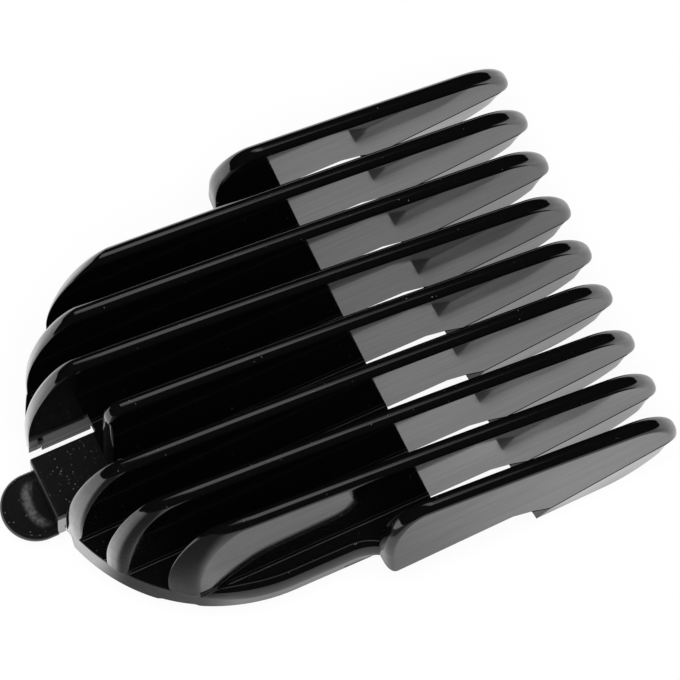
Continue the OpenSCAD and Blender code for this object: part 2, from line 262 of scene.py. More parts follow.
# Black plastic
PLASTIC_IOR = 1.6
STREAK_ROUGHNESS = 0.12
LACQUER_LEAST = 0.5
LACQUER_STREAKS = 0.8
LACQUER_ROUGHNESS = 0.06
RIPPLE_LEAST = 0.1
RIPPLE_SIDES = (0.85, 0.98)
DUST_CELLS = 5200.0
DUST_SIZE = 0.5
DUST_COLOUR = (0.13, 0.13, 0.125, 1)
DUST_ROUGHNESS = 0.7
DUST_PATCHES = 420.0
DUST_PATCH_EDGE = (0.45, 0.62)
DUST_SLOPE = 1.6
# painted highlight on the tab: its lighter grey, its roughness and the noise that breaks it up
TAB_HIGHLIGHT_COLOUR = (0.13, 0.13, 0.128, 1)
TAB_HIGHLIGHT_ROUGHNESS = 0.45
TAB_HIGHLIGHT_BREAKUP_SCALE = 2600.0
TAB_HIGHLIGHT_BREAKUP_EDGE = (0.35, 0.65)
TAB_HIGHLIGHT_BREAKUP_LEAST = 0.35
STREAK_SCALE = (900.0, 90.0, 1100.0)
RIPPLE_SCALE = (500.0, 220.0, 600.0)


def tan(degrees):
    return math.tan(math.radians(degrees))


def sin(degrees):
    return math.sin(math.radians(degrees))


def cos(degrees):
    return math.cos(math.radians(degrees))


def smooth(start, end, value):
    """0 before start and 1 after end, with a soft change between them."""
    t = min(max((value - start) / (end - start), 0.0), 1.0)
    return t * t * (3 - 2 * t)


def steps(count, first=0):
    """Even shares of the way from 0 to 1, without the first few where first is given."""
    return [i / count for i in range(first, count + 1)]


# Forms of the fins, where j counts outwards from 0 at the middle fin to 4 at the outer ones


def crown(j, y):
    """Height of the straight line over the ridge of a fin."""
    return DECK_HEIGHT + RIDGE_HEIGHT - RIDGE_CROWN * j * j / 16 - tan(RIDGE_FALL) * y


def ridge(j, y):
    return crown(j, y) - y * y / (2 * RIDGE_BOW)


def below(j, y, z):
    return crown(j, y) - z


def middle(j, y, z):
    """X of a fin's middle plane."""
    return CENTRE[j] - tan(SPLAY[j]) * y - tan(CANT[j]) * below(j, y, z)


def face(j, side, y, z):
    """Distance from a fin's middle plane to its side."""
    return HALF + tan(OUTER_DRAFT if side > 0 and j == 4 else FIN_DRAFT) * below(j, y, z)


def parting(y):
    """Height of the line between fin and toe."""
    s = y - PARTING_FROM
    return PARTING_LEVEL + tan(PARTING_RISE) * s - s * s / (2 * PARTING_CURL)


def keel(y):
    """Height of the lower edge of a toe."""
    return max(y - KEEL_FLAT, 0.0) ** 2 / (2 * KEEL_CURL)


def heel_foot(j, x):
    """Y of the rearmost point of a fin's heel."""
    if j == 0:
        return HINGE_Y + MIDDLE_HEEL_FROM
    if j == 4:
        return -OUTER_HEEL_FROM + tan(OUTER_HEEL_SLANT) * (x - CENTRE[4])
    return -HOOD_LENGTH - math.sqrt(HEEL_RADIUS**2 - x * x)


def bezier(a, b, c, d, t):
    s = 1 - t
    return a * s**3 + b * 3 * t * s * s + c * 3 * t * t * s + d * t**3


WINDOW_HALF = middle(1, HINGE_Y, DECK_HEIGHT) - face(1, -1, HINGE_Y, DECK_HEIGHT)
TONGUE_HALF = WINDOW_HALF - SLIT_WIDTH


def fin_outline(j, d, e, foot):
    """Side outline (y, z) of a fin, drawn in by d for its rounded edges and by e at the heel."""
    run = MIDDLE_HEEL_RUN if j == 0 else OUTER_HEEL_RUN if j == 4 else HEEL_RUN
    top = foot + run
    start = ridge(j, top) - MIDDLE_HEEL_DROP if j == 0 else DECK_HEIGHT + HEEL_START
    rise = ridge(j, top) - start
    nose = TIP_REACH - NOSE_RUN
    fall = math.atan(tan(RIDGE_FALL) + nose / RIDGE_BOW)
    p0 = Vector((nose, ridge(j, nose) - d))
    g = d * TIP_RUN / FIN_ROUND
    p3 = Vector((TIP_REACH - g, TIP_LEVEL))
    p1 = p0 + Vector((math.cos(fall), -math.sin(fall))) * (NOSE_PULL * NOSE_RUN)
    p2 = p3 + Vector((0, TIP_PULL * (p0.y - TIP_LEVEL)))
    end = TIP_REACH - PARTING_END - g
    chin = Vector((end, parting(end)))
    elbow = Vector((TIP_REACH - g, (TIP_LEVEL + chin.y) / 2))
    seat = DECK_HEIGHT - FIN_SEAT
    if j == 4:
        points = [
            (foot + e + HEEL_CORNER * (1 - sin(a)), SEAT_LEVEL + HEEL_CORNER * (1 - cos(a)))
            for a in range(0, 91, 15)
        ]
    elif j == 0:
        points = [(foot + e, seat)]
    else:
        # the heel runs down over the hood wall and dies out in it
        points = [(foot + e + HEEL_BASE, seat)]
        points += [
            (foot + e + (HEEL_PROUD + HEEL_SINK) * t * t, DECK_HEIGHT - HEEL_SKIRT * t)
            for t in reversed(steps(6))
        ]
    flat = 1.0 if j in (0, 4) else HEEL_FLAT
    points += [
        (top - (run - e) * cos(90 * t) ** flat, start + (rise - d) * sin(90 * t) ** flat)
        for t in steps(28)
    ]
    points += [(y, ridge(j, y) - d) for y in (top + (nose - top) * t for t in steps(16, 1))]
    points += [tuple(bezier(p0, p1, p2, p3, t)) for t in steps(22, 1)]
    points += [
        tuple(p3 * (1 - t) ** 2 + elbow * 2 * t * (1 - t) + chin * t * t) for t in steps(8, 1)
    ]
    stop = TIP_REACH - PARTING_END - TIP_RUN - PARTING_OVERLAP
    points += [(y, parting(y)) for y in (stop + (PARTING_FROM - stop) * t for t in steps(20))]
    points += [(STOP_FROM, STOP_TOP), (SEAT_LENGTH, SEAT_LEVEL), (0.0, SEAT_LEVEL)]
    if j != 4:
        points.append((0.0, seat))
    return points


# Making of meshes


def new_piece(name, points, faces, mirrored=False):
    """An object from points in millimetres, moved from the deck's front edge into the frame."""
    mesh = bpy.data.meshes.new(name)
    flip = -1 if mirrored else 1
    mesh.from_pydata([(flip * x * MM, (y + SHIFT) * MM, z * MM) for x, y, z in points], [], faces)
    form = bmesh.new()
    form.from_mesh(mesh)
    bmesh.ops.remove_doubles(form, verts=form.verts, dist=1e-8)
    bmesh.ops.recalc_face_normals(form, faces=form.faces)
    form.to_mesh(mesh)
    form.free()
    piece = bpy.data.objects.new(name, mesh)
    bpy.context.scene.collection.objects.link(piece)
    return piece


def skin(rows, closed=True):
    """Points and faces of a skin through rows of points; closed rows get a face at each end."""
    n = len(rows[0])
    points = [p for row in rows for p in row]
    faces = []
    for i in range(len(rows) - 1):
        for k in range(n if closed else n - 1):
            m = (k + 1) % n
            faces.append((i * n + k, i * n + m, (i + 1) * n + m, (i + 1) * n + k))
    if closed:
        faces.append(tuple(range(n)))
        faces.append(tuple((len(rows) - 1) * n + k for k in reversed(range(n))))
    return points, faces


def join(*shells):
    """One list of points and faces from several closed shells."""
    points, faces = [], []
    for more, sides in shells:
        base = len(points)
        points += more
        faces += [tuple(base + i for i in side) for side in sides]
    return points, faces


def finish_edges(piece, material, width=EDGE_BREAK, sharp=35):
    """Breaks the sharp edges of a piece, or leaves them where width is 0, and smooths the rest."""
    mesh = piece.data
    mesh.materials.append(material)
    for polygon in mesh.polygons:
        polygon.use_smooth = True
    if width:
        bevel = piece.modifiers.new("broken edges", "BEVEL")
        bevel.width = width * MM
        bevel.segments = 2
        bevel.limit_method = "ANGLE"
        bevel.angle_limit = math.radians(sharp)
    else:
        mesh.set_sharp_from_angle(angle=math.radians(sharp))
    normals = piece.modifiers.new("flat sides", "WEIGHTED_NORMAL")
    normals.weight = 100
    normals.keep_sharp = True


# Pieces of the comb


def cove(j, side):
    """The fillet at the root of a fin on one side: a thin bar with a hollow face."""
    foot = heel_foot(j, middle(j, heel_foot(j, CENTRE[j]), DECK_HEIGHT) + side * HALF)
    rear = foot + COVE_FROM_HEEL
    if j == 4:
        rear = -EAR_LENGTH + COVE_PAST_EAR
    elif j == 1 and side < 0:
        # beside the slit the side of the fin runs straight on into the edge of the deck
        rear = SLIT_END
    seat = DECK_HEIGHT - COVE_SEAT
    rows = []
    for y in (rear, -COVE_OVERLAP):
        x = middle(j, y, DECK_HEIGHT) + side * (face(j, side, y, DECK_HEIGHT) - COVE_OVERLAP)
        row = [(x, y, seat)]
        for t in steps(8):
            out, up = ROOT_COVE * (1 - cos(90 * t)), ROOT_COVE * (1 - sin(90 * t))
            row.append((x + side * out, y, DECK_HEIGHT + up))
        row.append((x + side * ROOT_COVE, y, seat))
        rows.append(row)
    return skin(rows)


def make_fin(k, material, root_highlight_material):
    j = abs(k - 5)
    rows = []
    base = middle(j, heel_foot(j, CENTRE[j]), DECK_HEIGHT)
    turns = [(-1, 90 - 10 * i) for i in range(10)] + [(1, 10 * i) for i in range(10)]
    for side, a in turns:
        width = HALF - FIN_ROUND + FIN_ROUND * sin(a)
        inset = FIN_ROUND * (1 - cos(a))
        heel = inset * HEEL_ROUND / FIN_ROUND if j > 0 and side < 0 else inset
        foot = heel_foot(j, base + side * width)
        share = side * width / HALF
        outline = fin_outline(j, inset, heel, foot)
        rows.append([(middle(j, y, z) + share * face(j, side, y, z), y, z) for y, z in outline])
    sides = (-1,) if j == 4 else (-1, 1)
    points, faces = join(skin(rows), *[cove(j, side) for side in sides])
    piece = new_piece("guide_fin_%d" % k, points, faces, k < 5)
    finish_edges(piece, material)
    # the lowest strip of the hollow fillet is duller and a lighter grey, a painted highlight that
    # shows as a line along the root
    piece.data.materials.append(root_highlight_material)
    for polygon in piece.data.polygons:
        low = DECK_HEIGHT < polygon.center.z / MM < DECK_HEIGHT + ROOT_LINE * ROOT_COVE
        hollow = 0.02 < abs(polygon.normal.z) < 0.98 and abs(polygon.normal.y) < 0.2
        if low and hollow:
            polygon.material_index = 1
    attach(piece, "comb")
    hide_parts("fin_%d" % k)


def make_toe(k, material, stop_material):
    j = abs(k - 5)
    end = TIP_REACH - PARTING_END
    floor_from = STOP_FROM + STOP_LEAN
    rise = parting(end) - CHIN_GAP - keel(CHIN_FROM)
    stations = [(STOP_FROM, STOP_TOP, 1.0, floor_from, 0.0, KEEL_WIDTH_STOP / 2)]
    for t in steps(36):
        t = sin(90 * t)
        y = PARTING_FROM + (end - PARTING_FROM) * t
        low = floor_from + KEEL_LEAD + (end - floor_from - KEEL_LEAD) * t
        # the sides round in to the point of the tip, and the keel rises to it
        turn = math.sqrt(1 - max(0.0, 1 - (end - y) / TIP_RUN) ** 2)
        share = 1 - FIN_ROUND / HALF * (1 - turn)
        bottom = keel(low)
        if low > CHIN_FROM:
            chin = keel(CHIN_FROM) + rise * max(0.0, (low - CHIN_FROM) / (end - CHIN_FROM))
            bottom = max(bottom, chin)
        stations.append((y, parting(y), share, low, bottom, KEEL_WIDTH / 2 * share))
    rows = []
    for y, z, share, low_y, low_z, low_half in stations:
        x = middle(j, y, z)
        out = face(j, 1, y, z) * share + PARTING_STEP
        into = face(j, -1, y, z) * share + PARTING_STEP
        low_x = middle(j, low_y, low_z) + (out - into) / 2
        row = [(x + out, y, z), (low_x + low_half, low_y, low_z)]
        row += [(low_x - low_half, low_y, low_z), (x - into, y, z)]
        rows.append(row)
    piece = new_piece("guide_toe_%d" % k, *skin(rows), k < 5)
    finish_edges(piece, material, sharp=16)
    # the sides of the blade stop are dull
    piece.data.materials.append(stop_material)
    for polygon in piece.data.polygons:
        at_stop = polygon.center.y < (PARTING_FROM - STOP_SIDE + SHIFT) * MM
        if at_stop and abs(polygon.normal.x) > 0.5:
            polygon.material_index = 1
    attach(piece, "comb")
    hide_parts("toe_%d" % k)


def lower_edge(y, angle):
    """Height of the lower edge of the hood wall."""
    rear = -HOOD_LENGTH - HOOD_RADIUS - SKIRT_RISE_PAST
    t = min(max((-SKIRT_RISE_FROM - y) / (-SKIRT_RISE_FROM - rear), 0.0), 1.0)
    low = DECK_HEIGHT - SKIRT_DROP + (SKIRT_DROP - SKIRT_DROP_BACK) * t
    reach = math.degrees(RELIEF_WIDTH / 2 / HOOD_RADIUS)
    off = abs(angle - RELIEF_AT)
    low += RELIEF_HEIGHT * (1 - smooth(reach - RELIEF_FADE, reach, off))
    notch_end = WINDOW_HALF + NOTCH_WIDTH
    past_notch = smooth(notch_end - NOTCH_FADE, notch_end, HOOD_RADIUS * cos(angle))
    return max(low, DECK_HEIGHT - SKIRT_DROP + NOTCH_HEIGHT * (1 - past_notch))


def pocket(y, z, low):
    """Depth of the shallow pocket in the side of the hood wall."""
    y_in = min(y + POCKET_FROM + POCKET_LENGTH, -POCKET_FROM - y)
    z_in = min(z - low - POCKET_SILL, low + POCKET_SILL + POCKET_HEIGHT - z)
    inside = min(y_in, z_in)
    if y_in < POCKET_CORNER and z_in < POCKET_CORNER:
        inside = POCKET_CORNER - math.hypot(POCKET_CORNER - y_in, POCKET_CORNER - z_in)
    return POCKET_DEPTH * smooth(*POCKET_SLOPE, inside)


def wall_profile(y, angle):
    """Section of the hood wall: distances out from the hood's radius, and heights."""
    low = lower_edge(y, angle)
    rounding = EDGE_CRISP + (EDGE_ROUND - EDGE_CRISP) * (1 - smooth(*EDGE_FADES, angle))
    lip = LIP_HEIGHT * (1 - smooth(*LIP_FADES, angle))
    tuck = WALL_TUCK * (1 - smooth(*TUCK_FADES, angle))
    swing = min(max((y + EAR_LENGTH + EAR_SWEEP) / EAR_SWEEP, 0.0), 1.0)
    sweep = (EAR_REACH + EDGE_ROUND) * swing**EAR_CURVE
    lip_from = -rounding - LIP_WIDTH
    fall = rounding * EDGE_FALL
    wall_top, wall_low = DECK_HEIGHT - fall, low + WALL_FOOT
    # up the inner side, over the lip, down the rounded edge and the outer side, and under the foot
    section = [(-SKIRT_WALL, low + WALL_CHAMFER), (-SKIRT_WALL, DECK_HEIGHT)]
    for t in steps(3, 1)[:-1]:
        section.append((-SKIRT_WALL + (lip_from + SKIRT_WALL) * t + sweep * t, DECK_HEIGHT))
    for t in steps(6):
        bead = lip * math.sin(math.pi * t)
        section.append((lip_from + LIP_WIDTH * t + sweep, DECK_HEIGHT + bead))
    for t in steps(24, 1):
        z = wall_top + fall * cos(90 * t)
        section.append((-rounding + rounding * sin(90 * t) + sweep - pocket(y, z, low), z))
    for t in steps(24, 1):
        z = wall_top + (wall_low - wall_top) * t
        section.append((sweep * (1 - t) - tuck * t - pocket(y, z, low), z))
    for t in steps(4, 1):
        out = -tuck - WALL_FOOT + WALL_FOOT * cos(90 * t)
        section.append((out, wall_low - WALL_FOOT * sin(90 * t)))
    section.append((-SKIRT_WALL + WALL_CHAMFER, low))
    return section


def make_wall(side, material):
    ys = [-EAR_ROW_STEP * i for i in range(EAR_ROWS)]
    ys += [-POCKET_ROWS_FROM - POCKET_ROW_STEP * i for i in range(POCKET_ROWS)]
    ys += [-PLAIN_ROWS_FROM - (HOOD_LENGTH - PLAIN_ROWS_FROM) * t for t in steps(12, 1)[:-1]]
    rows = [[(HOOD_RADIUS + out, y, z) for out, z in wall_profile(y, 0.0)] for y in ys]
    last = math.degrees(math.acos(WINDOW_HALF / HOOD_RADIUS))
    for t in steps(220):
        angle = last * t
        row = []
        for out, z in wall_profile(-HOOD_LENGTH - HOOD_RADIUS * sin(angle), angle):
            r = HOOD_RADIUS + out
            own = math.degrees(math.acos(WINDOW_HALF / r)) * t
            row.append((r * cos(own), -HOOD_LENGTH - r * sin(own), z))
        rows.append(row)
    points, faces = skin(rows)
    name = "hood_wall_%s" % ("right" if side > 0 else "left")
    piece = new_piece(name, points, faces, side < 0)
    finish_edges(piece, material, width=0, sharp=40)
    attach(piece, "comb")
    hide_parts("skirt")


def make_deck(material):
    """The floor of the hood with the window for the latch, and the two ribs under it."""
    top, bottom = DECK_HEIGHT, SEAT_LEVEL
    last = math.degrees(math.acos(WINDOW_HALF / INNER_RADIUS))
    half = [(INNER_RADIUS, 0.0)]
    for t in steps(64):
        half.append((INNER_RADIUS * cos(last * t), -HOOD_LENGTH - INNER_RADIUS * sin(last * t)))
    half += [(WINDOW_HALF, SLIT_END), (TONGUE_HALF, SLIT_END), (TONGUE_HALF, HINGE_Y + TONGUE_ROOT)]
    plan = half + [(-x, y) for x, y in reversed(half)]
    plate = skin([[(x, y, z) for x, y in plan] for z in (bottom, top)])
    ribs = []
    for side in (-1, 1):
        inner, outer = side * WINDOW_HALF, side * (WINDOW_HALF + RIB_THICKNESS)
        foot = []
        for x in (inner, outer):
            foot.append((x, -HOOD_LENGTH - math.sqrt(INNER_RADIUS**2 - x * x) + RIB_REAR_GAP))
        foot += [(outer, SLIT_END), (inner, SLIT_END)]
        levels = (DECK_HEIGHT - RIB_DROP, bottom + RIB_SEAT)
        ribs.append(skin([[(x, y, z) for x, y in foot] for z in levels]))
    piece = new_piece("deck_plate", *join(plate, *ribs))
    finish_edges(piece, material, width=DECK_BREAK)
    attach(piece, "comb")
    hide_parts("deck")


def make_tongue(material):
    """The tongue of the latch, from its root at the deck to its rounded end."""
    root, end = HINGE_Y + TONGUE_ROOT, -TONGUE_END
    rows = [(root + (end + TONGUE_EDGE - root) * t, 0.0) for t in steps(40)]
    for t in steps(6, 1):
        rows.append((end + TONGUE_EDGE * (1 - sin(90 * t)), TONGUE_EDGE * (1 - cos(90 * t))))
    cx = TONGUE_HALF - TONGUE_BREAK
    low_z = SEAT_LEVEL + TONGUE_BREAK
    loops = []
    for y, drop in rows:
        top_z = DECK_HEIGHT - TONGUE_BREAK - drop
        loop = []
        for x, z, a in ((cx, low_z, -90), (cx, top_z, 0), (-cx, top_z, 90), (-cx, low_z, 180)):
            for t in steps(4):
                turn = a + 90 * t
                loop.append((x + TONGUE_BREAK * cos(turn), y, z + TONGUE_BREAK * sin(turn)))
        loops.append(loop)
    piece = new_piece("tongue_strip", *skin(loops))
    finish_edges(piece, material, width=0, sharp=50)

    def place(y):
        return (0.0, (y + SHIFT) * MM, (DECK_HEIGHT - DECK_THICKNESS / 2) * MM)

    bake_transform(piece)
    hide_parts("latch_tongue")


def make_tab(material):
    """The thumb tab: a dished half round with a full rounded rim."""
    r = TAB_THICKNESS / 2
    rim = TAB_RADIUS - r
    centre_y = -TONGUE_END - TAB_NECK
    mid = TAB_TOP - r
    dish = TAB_RADIUS**2 / (2 * DISH_DEPTH)

    def top(x, y):
        off = x * x + (y - centre_y + DISH_BACK) ** 2
        return TAB_TOP - max(0.0, DISH_DEPTH - off / (2 * dish))

    # from the middle of the dish out, round the rim and back along the underside
    path = [(TAB_EYE + (rim - TAB_EYE) * t, None) for t in steps(16)]
    path += [(rim + r * sin(180 * t), mid + r * cos(180 * t)) for t in steps(20, 1)]
    path += [(rim * (1 - t) + TAB_EYE * t, mid - r) for t in steps(3, 1)]
    ring = [("neck", t) for t in steps(4)[:-1]]
    ring += [("arc", t) for t in steps(48)]
    ring += [("back", t) for t in steps(4, 1)]
    rows = []
    for kind, t in ring:
        row = []
        for out, z in path:
            if kind == "arc":
                x, y = out * cos(180 * t), centre_y - out * sin(180 * t)
            else:
                x = out if kind == "neck" else -out
                y = centre_y + TAB_NECK * ((1 - t) if kind == "neck" else t)
            if z is None:
                row.append((x, y, top(x, y)))
            else:
                fade = max(0.0, 1 - (out - TAB_RADIUS + r) / (RIM_BLEND * r)) if z > mid else 0.0
                row.append((x, y, z - fade * (TAB_TOP - top(x, y))))
        rows.append(row)
    points, faces = skin(rows, closed=False)
    n = len(path)
    last = (len(rows) - 1) * n
    # the flanks close against the end of the tongue, and the middle closes along the centre line
    faces.append(tuple(range(n)) + tuple(last + i for i in reversed(range(n))))
    faces.append(tuple(i * n for i in range(len(rows))))
    faces.append(tuple(i * n + n - 1 for i in reversed(range(len(rows)))))
    piece = new_piece("dished_tab", points, faces)
    finish_edges(piece, material, width=0, sharp=50)
    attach(piece, "latch")
    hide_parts("thumb_tab")


# Camera and lamps


def from_angles(azimuth, elevation):
    """Direction out from the comb: azimuth 0 is behind the latch and 90 beside the ninth fin."""
    flat = cos(elevation)
    return Vector((sin(azimuth) * flat, -cos(azimuth) * flat, sin(elevation)))


def set_up(name, data, aim, azimuth, elevation, distance):
    """Places a camera or a lamp round the comb and turns it to its aim."""
    back = from_angles(azimuth, elevation)
    thing = bpy.data.objects.new(name, data)
    thing.location = aim + back * distance
    thing.rotation_mode = "QUATERNION"
    thing.rotation_quaternion = (-back).to_track_quat("-Z", "Y")
    bpy.context.scene.collection.objects.link(thing)
    return thing


def make_camera():
    data = bpy.data.cameras.new("camera")
    data.sensor_width = SENSOR_WIDTH
    data.lens = SENSOR_WIDTH * CAMERA_DISTANCE / FIELD_WIDTH
    data.clip_end = 2 * CAMERA_DISTANCE
    camera = set_up("camera", data, AIM, CAMERA_AZIMUTH, CAMERA_ELEVATION, CAMERA_DISTANCE)
    bpy.context.scene.camera = camera


def add_lamp(name, azimuth, elevation, distance, size, watts, mirrored):
    data = bpy.data.lights.new(name, "AREA")
    data.shape = "RECTANGLE"
    data.size, data.size_y = size
    data.energy = watts
    lamp = set_up(name, data, Vector((0, 0, 0)), azimuth, elevation, distance)
    lamp.visible_glossy = mirrored


# Making of materials


def put(tree, socket, value):
    """Links a node socket to an input, or sets a plain value in it."""
    if isinstance(value, bpy.types.NodeSocket):
        tree.links.new(value, socket)
    else:
        socket.default_value = value


def add(tree, kind, **sockets):
    """A new node whose inputs are filled by name."""
    node = tree.nodes.new(kind)
    for name, value in sockets.items():
        put(tree, node.inputs[name.replace("_", " ")], value)
    return node


def maths(tree, operation, *values, clamp=False):
    node = tree.nodes.new("ShaderNodeMath")
    node.operation = operation
    node.use_clamp = clamp
    for socket, value in zip(node.inputs, values):
        put(tree, socket, value)
    return node.outputs[0]


def length(tree, a, b):
    """Length of the slanting side over two sides that stand square."""
    squares = maths(tree, "ADD", maths(tree, "POWER", a, 2.0), maths(tree, "POWER", b, 2.0))
    return maths(tree, "SQRT", squares)


def soft_step(tree, value, start, end, low=0.0, high=1.0):
    """low before start and high after end, with a soft change between them."""
    node = add(tree, "ShaderNodeMapRange", Value=value)
    node.interpolation_type = "SMOOTHSTEP"
    limits = (("From Min", start), ("From Max", end), ("To Min", low), ("To Max", high))
    for name, number in limits:
        node.inputs[name].default_value = number
    return node.outputs["Result"]


def mix(tree, kind, share, a, b):
    """From a to b by share: numbers where kind is VALUE, and colours where it is RGBA."""
    node = tree.nodes.new("ShaderNodeMix")
    node.data_type = "FLOAT" if kind == "VALUE" else kind
    put(tree, node.inputs["Factor"], share)
    for socket, value in zip([s for s in node.inputs if s.type == kind][-2:], (a, b)):
        put(tree, socket, value)
    return next(s for s in node.outputs if s.type == kind)


def mix_shaders(tree, share, a, b):
    node = tree.nodes.new("ShaderNodeMixShader")
    tree.links.new(share, node.inputs[0])
    tree.links.new(a.outputs[0], node.inputs[1])
    tree.links.new(b.outputs[0], node.inputs[2])
    return node


def new_group(name, inputs, outputs):
    """An empty node group, with its inputs and their usual values, and its outputs."""
    group = bpy.data.node_groups.new(name, "ShaderNodeTree")
    for label, value in inputs:
        socket = group.interface.new_socket(label, in_out="INPUT", socket_type="NodeSocketFloat")
        socket.default_value = value
    for label in outputs:
        group.interface.new_socket(label, in_out="OUTPUT", socket_type="NodeSocketFloat")
    return group, group.nodes.new("NodeGroupInput"), group.nodes.new("NodeGroupOutput")


def use_group(tree, group, **values):
    node = tree.nodes.new("ShaderNodeGroup")
    node.node_tree = group
    for name, value in values.items():
        node.inputs[name].default_value = value
    return node


def new_material(name):
    material = bpy.data.materials.new(name)
    material.use_nodes = True
    material.node_tree.nodes.clear()
    return material


def dust_group():
    """Specks of dust: a share of the cells of a fine pattern holds one speck each, in patches."""
    inputs = [("Cells", DUST_CELLS), ("Share", 0.03), ("Size", DUST_SIZE)]
    group, given, out = new_group("dust specks", inputs, ["Mask"])
    spot = group.nodes.new("ShaderNodeTexCoord").outputs["Object"]
    cells = add(group, "ShaderNodeTexVoronoi", Vector=spot, Scale=given.outputs["Cells"])
    parts = add(group, "ShaderNodeSeparateColor", Color=cells.outputs["Color"])
    chosen = maths(group, "LESS_THAN", parts.outputs["Red"], given.outputs["Share"])
    size = maths(group, "MULTIPLY", given.outputs["Size"], parts.outputs["Green"])
    edge = maths(group, "LESS_THAN", cells.outputs["Distance"], size)
    noise = add(group, "ShaderNodeTexNoise", Vector=spot, Scale=DUST_PATCHES, Detail=1.0)
    patches = soft_step(group, noise.outputs["Fac"], *DUST_PATCH_EDGE)
    mask = maths(group, "MULTIPLY", maths(group, "MULTIPLY", chosen, edge), patches)
    group.links.new(mask, out.inputs["Mask"])
    return group


def flow_group():
    """Flow marks of the moulding: long faint streaks along the fins and a soft ripple."""
    group, _, out = new_group("flow marks", [], ["Streaks", "Ripple"])
    spot = group.nodes.new("ShaderNodeTexCoord").outputs["Object"]
    kinds = (("Streaks", STREAK_SCALE, 3.0, 0.6), ("Ripple", RIPPLE_SCALE, 1.5, 0.5))
    for label, scale, detail, fineness in kinds:
        along = add(group, "ShaderNodeMapping", Vector=spot, Scale=scale).outputs["Vector"]
        noise = add(
            group, "ShaderNodeTexNoise", Vector=along, Scale=1.0, Detail=detail, Roughness=fineness
        )
        group.links.new(noise.outputs["Fac"], out.inputs[label])
    return group


def tab_highlight_group():
    """Painted highlight on the tab: a lighter crescent along the back of the dish, broken up by
    fine noise.
    """
    group, given, out = new_group("painted tab highlight", [("Breakup", TAB_HIGHLIGHT_BREAKUP_SCALE)], ["Mask"])
    spot = group.nodes.new("ShaderNodeTexCoord").outputs["Object"]
    parts = add(group, "ShaderNodeSeparateXYZ", Vector=spot)
    x, y = parts.outputs["X"], maths(group, "SUBTRACT", parts.outputs["Y"], TAB_HIGHLIGHT_CENTRE * MM)
    off = maths(group, "SUBTRACT", length(group, x, y), TAB_HIGHLIGHT_RADIUS * MM)
    band = soft_step(group, maths(group, "ABSOLUTE", off), 0.0, TAB_HIGHLIGHT_WIDTH * MM, 1.0, 0.0)
    ends_from, ends_to = (end * MM for end in TAB_HIGHLIGHT_ENDS)
    ends = soft_step(group, maths(group, "ABSOLUTE", x), ends_from, ends_to, 1.0, 0.0)
    behind = maths(group, "LESS_THAN", y, 0.0)
    breakup_noise = add(
        group, "ShaderNodeTexNoise", Vector=spot, Scale=given.outputs["Breakup"], Detail=4.0
    )
    broken = soft_step(group, breakup_noise.outputs["Fac"], *TAB_HIGHLIGHT_BREAKUP_EDGE, TAB_HIGHLIGHT_BREAKUP_LEAST)
    crescent = maths(group, "MULTIPLY", band, ends)
    mask = maths(group, "MULTIPLY", crescent, maths(group, "MULTIPLY", behind, broken))
    group.links.new(mask, out.inputs["Mask"])
    return group


def black_plastic(name, dust, flow, base, roughness, ripple, specks, lacquer=0.0, tab_highlight=None):
    """Black moulded plastic: ripple is the height of its waves, and specks the share of dust."""
    material = new_material(name)
    tree = material.node_tree
    marks = use_group(tree, flow)
    dots = use_group(tree, dust, Share=specks)
    normal = tree.nodes.new("ShaderNodeNewGeometry")
    parts = add(tree, "ShaderNodeSeparateXYZ", Vector=normal.outputs["Normal"])
    # dust lies on what faces up
    slope = maths(tree, "MULTIPLY", parts.outputs["Z"], DUST_SLOPE, clamp=True)
    facing = maths(tree, "SMOOTH_MIN", slope, 1.0, 0.1)
    speck = maths(tree, "MULTIPLY", dots.outputs["Mask"], facing, clamp=True)
    colour = mix(tree, "RGBA", speck, base, DUST_COLOUR)
    streak = maths(tree, "POWER", marks.outputs["Streaks"], 3.0)
    rough = maths(tree, "ADD", roughness, maths(tree, "MULTIPLY", streak, STREAK_ROUGHNESS))
    rough = mix(tree, "VALUE", speck, rough, DUST_ROUGHNESS)
    # a painted highlight: a lighter, rougher black in a crescent where the mask is given
    if tab_highlight:
        highlight_mask = use_group(tree, tab_highlight).outputs["Mask"]
        colour = mix(tree, "RGBA", highlight_mask, colour, TAB_HIGHLIGHT_COLOUR)
        rough = mix(tree, "VALUE", highlight_mask, rough, TAB_HIGHLIGHT_ROUGHNESS)
    # the waves show on the upright sides of the fins
    upright = maths(tree, "ABSOLUTE", parts.outputs["X"])
    upright = soft_step(tree, upright, *RIPPLE_SIDES, RIPPLE_LEAST)
    waves = maths(tree, "MULTIPLY", marks.outputs["Ripple"], upright)
    bump = add(tree, "ShaderNodeBump", Height=waves, Distance=ripple * MM, Strength=1.0)
    most, least = LACQUER_STREAKS * lacquer, LACQUER_LEAST * lacquer
    polish = maths(tree, "MULTIPLY_ADD", marks.outputs["Streaks"], most, least, clamp=True)
    shader = add(
        tree,
        "ShaderNodeBsdfPrincipled",
        Base_Color=colour,
        Roughness=rough,
        IOR=PLASTIC_IOR,
        Normal=bump.outputs["Normal"],
        Coat_Weight=polish,
        Coat_Roughness=LACQUER_ROUGHNESS,
    )
    add(tree, "ShaderNodeOutputMaterial", Surface=shader.outputs["BSDF"])
    return material


# Table and room


